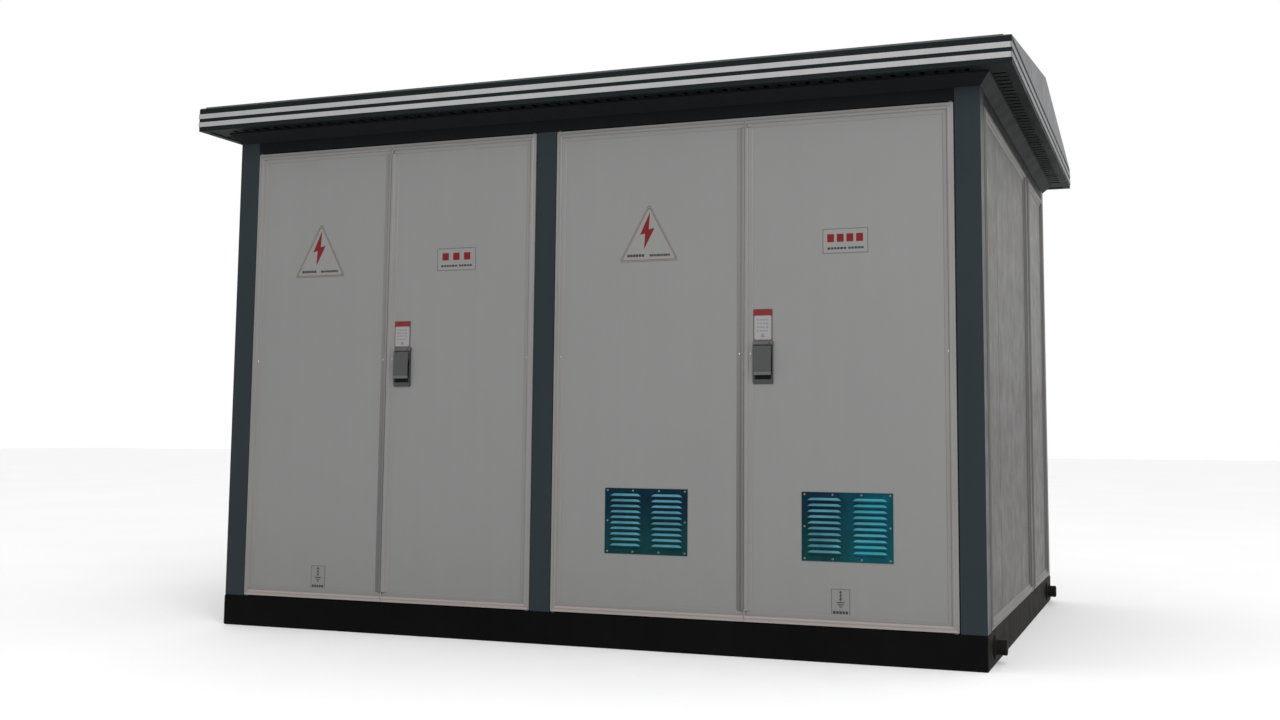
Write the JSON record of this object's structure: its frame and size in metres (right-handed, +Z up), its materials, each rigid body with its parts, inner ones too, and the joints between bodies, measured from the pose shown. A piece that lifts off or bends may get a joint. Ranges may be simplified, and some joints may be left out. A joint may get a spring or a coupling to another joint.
{
  "type": "packaged transformer substation",
  "caption": "Walk-up box-type transformer substation: steel enclosure with double doors, louvres, rod locks, gable roof, and transformer and switchgear inside.",
  "frame": {"origin": "centre of the footprint on the ground, at the underside of the channel base", "axes": "+X along the length (high-voltage room at -X, transformer room at +X), front doors face -Y, +Z up"},
  "size_m": [3.894, 2.894, 2.68],
  "materials": {
    "base_black": "satin",
    "floor_steel": "matt",
    "frame_slate": "satin",
    "stop_dark": "satin",
    "bright_steel": "satin",
    "panel_grey": "satin",
    "trim_alu": "satin",
    "liner_grey": "satin",
    "roof_slate": "satin",
    "stripe_white": "satin",
    "soffit_dark": "matt",
    "switchgear_grey": "satin",
    "switchgear_front": "satin",
    "cable_red": "matt",
    "tank_grey": "satin",
    "core_iron": "matt",
    "bushing_brown": "gloss",
    "bushing_white": "gloss",
    "gauge_metal": "satin",
    "busbar_metal": "satin",
    "vent_teal": "gloss",
    "lock_zinc": "satin",
    "black_plastic": "matt",
    "red_plastic": "gloss"
  },
  "bodies": {
    "housing": {"base_frame": "base_black", "earth_tab": "bright_steel", "lifting_trunnions": "base_black", "floor_plates": "floor_steel", "corner_posts": "frame_slate", "mid_posts": "frame_slate", "top_frame": "frame_slate", "door_stops": "stop_dark", "pivot_pins": "bright_steel", "side_walls": "panel_grey", "side_trims": "trim_alu", "partitions": "liner_grey", "roof_shell": "roof_slate", "roof_fascia": "frame_slate", "fascia_stripes": "stripe_white", "soffit": "soffit_dark", "cove_mould": "soffit_dark", "rmu_cabinet": "switchgear_grey", "rmu_front": "switchgear_front", "hv_cables": "cable_red", "tx_tank": "tank_grey", "tx_fins": "tank_grey", "tx_cover": "tank_grey", "tx_core": "core_iron", "tx_hv_bushings": "bushing_brown", "tx_lv_bushings": "bushing_white", "tx_gauges": "gauge_metal", "lv_cabinet": "switchgear_grey", "lv_front": "switchgear_front", "busbars": "busbar_metal"},
    "hv_door_l": {"hv_leaf_l": "panel_grey", "hv_trim_l": "trim_alu"},
    "hv_door_r": {"hv_leaf_r": "panel_grey", "hv_trim_r": "trim_alu", "lock_a_plate": "lock_zinc"},
    "tx_door_l": {"tx_leaf_l": "panel_grey", "tx_trim_l": "trim_alu", "tx_vent_l": "vent_teal"},
    "tx_door_r": {"tx_leaf_r": "panel_grey", "tx_trim_r": "trim_alu", "tx_vent_r": "vent_teal", "lock_b_plate": "lock_zinc"},
    "rear_door_1": {"rear_leaf_1": "panel_grey"},
    "rear_door_2": {"rear_leaf_2": "panel_grey"},
    "rear_door_3": {"rear_leaf_3": "panel_grey"},
    "rear_door_4": {"rear_leaf_4": "panel_grey"},
    "rear_latch_a": {"rear_handle_a": "lock_zinc"},
    "rear_latch_b": {"rear_handle_b": "lock_zinc"},
    "tap_knob": {"tx_tap_knob": "black_plastic"},
    "switch_lever_a": {"rmu_lever_a": "black_plastic"},
    "switch_lever_b": {"rmu_lever_b": "black_plastic"},
    "main_handle": {"lv_main_handle": "red_plastic"},
    "spindle_a": {"lock_a_spindle": "bright_steel"},
    "grip_a": {"lock_a_handle": "lock_zinc"},
    "rod_up_a": {"lock_a_rod_up": "bright_steel"},
    "rod_low_a": {"lock_a_rod_low": "bright_steel"},
    "spindle_b": {"lock_b_spindle": "bright_steel"},
    "grip_b": {"lock_b_handle": "lock_zinc"},
    "rod_up_b": {"lock_b_rod_up": "bright_steel"},
    "rod_low_b": {"lock_b_rod_low": "bright_steel"}
  },
  "joints": [
    {"name": "hv_door_l_hinge", "type": "hinge", "parent": "housing", "child": "hv_door_l", "pos_m": [-1.679, -1.295, 1.207], "axis": [0, 0, -1], "range_deg": [0, 110]},
    {"name": "hv_door_r_hinge", "type": "hinge", "parent": "housing", "child": "hv_door_r", "pos_m": [-0.198, -1.295, 1.207], "axis": [0, 0, 1], "range_deg": [0, 90]},
    {"name": "tx_door_l_hinge", "type": "hinge", "parent": "housing", "child": "tx_door_l", "pos_m": [-0.07, -1.295, 1.207], "axis": [0, 0, -1], "range_deg": [0, 90]},
    {"name": "tx_door_r_hinge", "type": "hinge", "parent": "housing", "child": "tx_door_r", "pos_m": [1.679, -1.295, 1.207], "axis": [0, 0, 1], "range_deg": [0, 110]},
    {"name": "rear_door_1_hinge", "type": "hinge", "parent": "housing", "child": "rear_door_1", "pos_m": [-1.679, 1.295, 1.207], "axis": [0, 0, 1], "range_deg": [0, 110]},
    {"name": "rear_door_2_hinge", "type": "hinge", "parent": "housing", "child": "rear_door_2", "pos_m": [-0.198, 1.295, 1.207], "axis": [0, 0, -1], "range_deg": [0, 90]},
    {"name": "rear_door_3_hinge", "type": "hinge", "parent": "housing", "child": "rear_door_3", "pos_m": [-0.07, 1.295, 1.207], "axis": [0, 0, 1], "range_deg": [0, 90]},
    {"name": "rear_door_4_hinge", "type": "hinge", "parent": "housing", "child": "rear_door_4", "pos_m": [1.679, 1.295, 1.207], "axis": [0, 0, -1], "range_deg": [0, 110]},
    {"name": "lock_a_turn", "type": "hinge", "parent": "hv_door_r", "child": "spindle_a", "pos_m": [-0.8565, -1.305, 1.27], "axis": [0, -1, 0], "range_deg": [0, 90]},
    {"name": "lock_a_lift", "type": "hinge", "parent": "spindle_a", "child": "grip_a", "pos_m": [-0.8565, -1.3105, 1.2825], "axis": [-1, 0, 0], "range_deg": [0, 30]},
    {"name": "rod_up_a_slide", "type": "slide", "parent": "hv_door_r", "child": "rod_up_a", "axis": [0, 0, -1], "range_m": [0, 0.0246]},
    {"name": "rod_low_a_slide", "type": "slide", "parent": "hv_door_r", "child": "rod_low_a", "axis": [0, 0, 1], "range_m": [0, 0.0246]},
    {"name": "lock_b_turn", "type": "hinge", "parent": "tx_door_r", "child": "spindle_b", "pos_m": [0.8865, -1.305, 1.27], "axis": [0, -1, 0], "range_deg": [0, 90]},
    {"name": "lock_b_lift", "type": "hinge", "parent": "spindle_b", "child": "grip_b", "pos_m": [0.8865, -1.3105, 1.2825], "axis": [-1, 0, 0], "range_deg": [0, 30]},
    {"name": "rod_up_b_slide", "type": "slide", "parent": "tx_door_r", "child": "rod_up_b", "axis": [0, 0, -1], "range_m": [0, 0.0246]},
    {"name": "rod_low_b_slide", "type": "slide", "parent": "tx_door_r", "child": "rod_low_b", "axis": [0, 0, 1], "range_m": [0, 0.0246]},
    {"name": "rear_latch_a_turn", "type": "hinge", "parent": "rear_door_2", "child": "rear_latch_a", "pos_m": [-0.8565, 1.305, 1.27], "axis": [0, 1, 0], "range_deg": [-90, 0]},
    {"name": "rear_latch_b_turn", "type": "hinge", "parent": "rear_door_4", "child": "rear_latch_b", "pos_m": [0.8865, 1.305, 1.27], "axis": [0, 1, 0], "range_deg": [-90, 0]},
    {"name": "tap_changer_turn", "type": "hinge", "parent": "housing", "child": "tap_knob", "pos_m": [0.34, -0.46, 1.18], "axis": [0, 0, 1], "range_deg": [0, 120]},
    {"name": "switch_a_turn", "type": "hinge", "parent": "housing", "child": "switch_lever_a", "pos_m": [-0.925, -1, 1.274], "axis": [0, -1, 0], "range_deg": [0, 90]},
    {"name": "switch_b_turn", "type": "hinge", "parent": "housing", "child": "switch_lever_b", "pos_m": [-0.475, -1, 1.274], "axis": [0, -1, 0], "range_deg": [0, 90]},
    {"name": "main_breaker_turn", "type": "hinge", "parent": "housing", "child": "main_handle", "pos_m": [-1.17, 1.04, 1.194], "axis": [0, 1, 0], "range_deg": [0, 90]}
  ],
  "couplings": [
    {"joint": "rod_up_a_slide", "follows": "lock_a_turn", "m_per_rad": 0.0156},
    {"joint": "rod_low_a_slide", "follows": "lock_a_turn", "m_per_rad": 0.0156},
    {"joint": "rod_up_b_slide", "follows": "lock_b_turn", "m_per_rad": 0.0156},
    {"joint": "rod_low_b_slide", "follows": "lock_b_turn", "m_per_rad": 0.0156}
  ]
}
